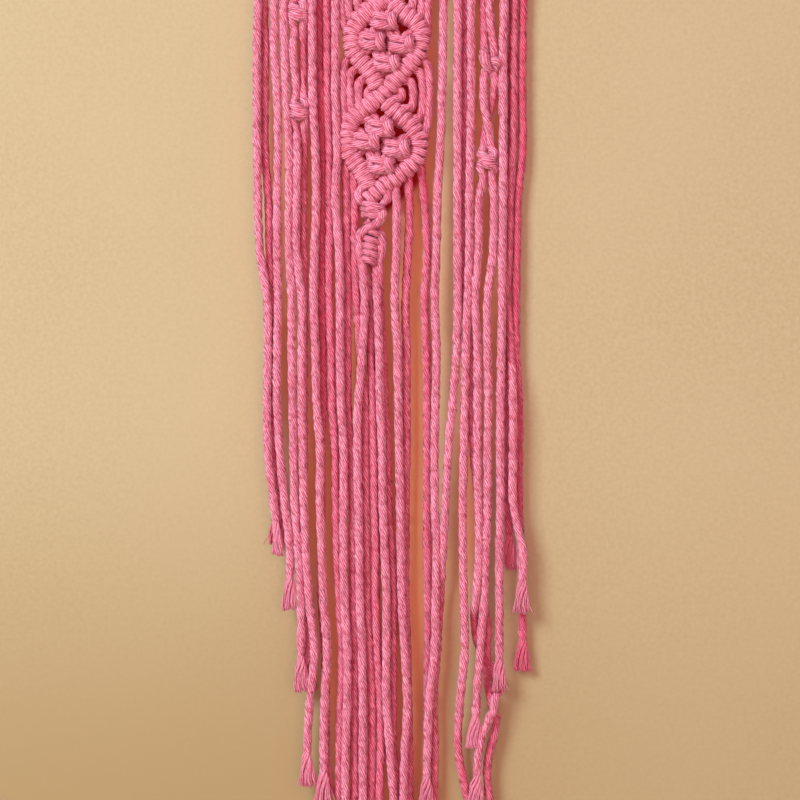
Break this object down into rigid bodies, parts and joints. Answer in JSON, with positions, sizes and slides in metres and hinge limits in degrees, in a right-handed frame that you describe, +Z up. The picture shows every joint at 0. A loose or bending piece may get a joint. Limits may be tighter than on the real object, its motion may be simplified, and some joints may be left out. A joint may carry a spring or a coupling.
{
  "type": "macrame wall hanging",
  "caption": "Flat hanging of folded cotton cords: a knotted diamond chain down the middle ends in a spiral, loose cords fall on both sides to frayed ends.",
  "frame": {"origin": "middle of the top edge, where the wall holds the hanging", "axes": "+Z up along the fall of the cords, +X to the right seen from the front, -Y out of the front towards the viewer, wall behind at +Y"},
  "size_m": [0.16, 0.0154, 0.5259],
  "materials": {
    "cotton_cord": "soft matt pink three-ply cotton cord",
    "holding_cord": "soft matt pink three-ply cotton cord"
  },
  "bodies": {
    "root": {"holding_cord": "holding_cord", "diamond_chain": "cotton_cord", "cord_left_1": "cotton_cord", "cord_left_2": "cotton_cord", "cord_left_3": "cotton_cord", "cord_left_4": "cotton_cord", "cord_left_5": "cotton_cord", "cord_right_1": "cotton_cord", "cord_right_2": "cotton_cord", "cord_right_3": "cotton_cord", "cord_right_4": "cotton_cord", "cord_right_5": "cotton_cord"}
  },
  "joints": []
}
